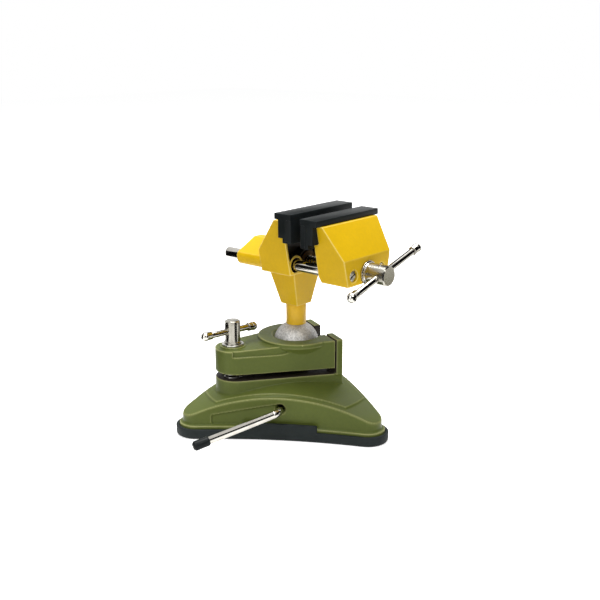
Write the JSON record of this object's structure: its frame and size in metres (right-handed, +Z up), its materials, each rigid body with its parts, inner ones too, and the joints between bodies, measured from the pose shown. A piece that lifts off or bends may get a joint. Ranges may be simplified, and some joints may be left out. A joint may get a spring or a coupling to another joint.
{
  "type": "bench vise",
  "caption": "Small tilting bench vise: jaws on twin guide rods, a clamped ball joint below and a lobed suction foot with a locking lever.",
  "frame": {"origin": "on the table face, straight below the centre of the ball", "axes": "+Z up; -Y from the ball's axis towards the spindle handle; +X along the jaws"},
  "size_m": [0.2105, 0.1715, 0.1966],
  "materials": {
    "rubber": "matt moulded rubber",
    "green_paint": "gloss olive paint on a casting",
    "yellow_paint": "gloss yellow paint on a casting",
    "zinc_steel": "zinc plated",
    "chrome": "bright plated",
    "grip_plastic": "satin plastic",
    "cap_plastic": "satin plastic",
    "spring_steel": "drawn wire",
    "ball_metal": "satin turned metal",
    "bronze": "oiled bronze"
  },
  "bodies": {
    "base": {"base_casting": "green_paint", "suction_pad": "rubber", "lift_spring": "spring_steel"},
    "pull": {"pull_stud": "zinc_steel", "pad_plate": "zinc_steel"},
    "lever": {"vacuum_lever": "chrome", "lever_grip": "grip_plastic", "lever_clip": "zinc_steel"},
    "plate": {"clamp_plate": "green_paint"},
    "washer": {"clamp_washer": "zinc_steel"},
    "clamp_screw_body": {"clamp_screw": "chrome"},
    "clamp_bar_body": {"clamp_bar": "chrome", "clamp_bar_ends": "chrome"},
    "ball": {"swivel_ball": "ball_metal"},
    "neck": {"neck_post": "yellow_paint"},
    "head": {"fixed_jaw": "yellow_paint", "spindle_nut": "bronze", "rod_bushes": "bronze", "rear_jaw_cap": "cap_plastic"},
    "slide_jaw": {"movable_jaw": "yellow_paint", "front_jaw_cap": "cap_plastic", "guide_rod_left": "chrome", "guide_rod_right": "chrome", "rod_screws": "zinc_steel", "spindle_washer": "chrome"},
    "spindle_body": {"spindle": "chrome", "spindle_retainer": "zinc_steel", "spindle_detent": "spring_steel"},
    "spindle_bar_body": {"spindle_bar": "chrome", "spindle_bar_ends": "chrome"}
  },
  "joints": [
    {"name": "side_lean", "type": "hinge", "parent": "base", "child": "ball", "pos_m": [0, 0, 0.071], "axis": [0.8988, -0.4384, 0], "range_deg": [-30, 30]},
    {"name": "notch_lean", "type": "hinge", "parent": "ball", "child": "neck", "pos_m": [0, 0, 0.071], "axis": [0.4384, 0.8988, 0], "range_deg": [-20, 90]},
    {"name": "head_turn", "type": "hinge", "parent": "neck", "child": "head", "pos_m": [0, 0, 0.071], "axis": [0, 0, 1], "continuous": true},
    {"name": "jaw_slide", "type": "slide", "parent": "head", "child": "slide_jaw", "axis": [0, -1, 0], "range_m": [-0.0102, 0.0597]},
    {"name": "spindle_turn", "type": "hinge", "parent": "slide_jaw", "child": "spindle_body", "pos_m": [0, -0.09, 0.1485], "axis": [0, -1, 0], "range_deg": [-1225, 7165]},
    {"name": "spindle_bar_slide", "type": "slide", "parent": "spindle_body", "child": "spindle_bar_body", "axis": [0.9613, 0, 0.2756], "range_m": [-0.0365, 0.0255]},
    {"name": "clamp_lift", "type": "slide", "parent": "base", "child": "washer", "axis": [0, 0, 1], "range_m": [0, 0.00225]},
    {"name": "clamp_turn", "type": "hinge", "parent": "washer", "child": "clamp_screw_body", "pos_m": [-0.05438, 0.02652, 0.088], "axis": [0, 0, 1], "range_deg": [-1, 541]},
    {"name": "clamp_bar_slide", "type": "slide", "parent": "clamp_screw_body", "child": "clamp_bar_body", "axis": [0.986, -0.1668, 0], "range_m": [-0.0094, 0.0157]},
    {"name": "plate_lift", "type": "hinge", "parent": "base", "child": "plate", "pos_m": [0.02355, -0.01149, 0.071], "axis": [0.4384, 0.8988, 0], "range_deg": [-0.01, 1.31], "deforming": ["lift_spring"]},
    {"name": "lever_turn", "type": "hinge", "parent": "base", "child": "lever", "pos_m": [-0.00764, 0.00373, 0.0275], "axis": [0.829, 0.5592, 0], "range_deg": [-0.3, 150.3]},
    {"name": "pad_pull", "type": "slide", "parent": "base", "child": "pull", "axis": [0, 0, 1], "range_m": [0, 0.0029]}
  ],
  "couplings": [
    {"joint": "spindle_turn", "follows": "jaw_slide", "rad_per_m": 2094.4},
    {"joint": "clamp_turn", "follows": "clamp_lift", "rad_per_m": 4188.8},
    {"joint": "plate_lift", "follows": "clamp_lift", "rad_per_m": 10.084},
    {"joint": "lever_turn", "follows": "pad_pull", "rad_per_m": 903.38}
  ]
}
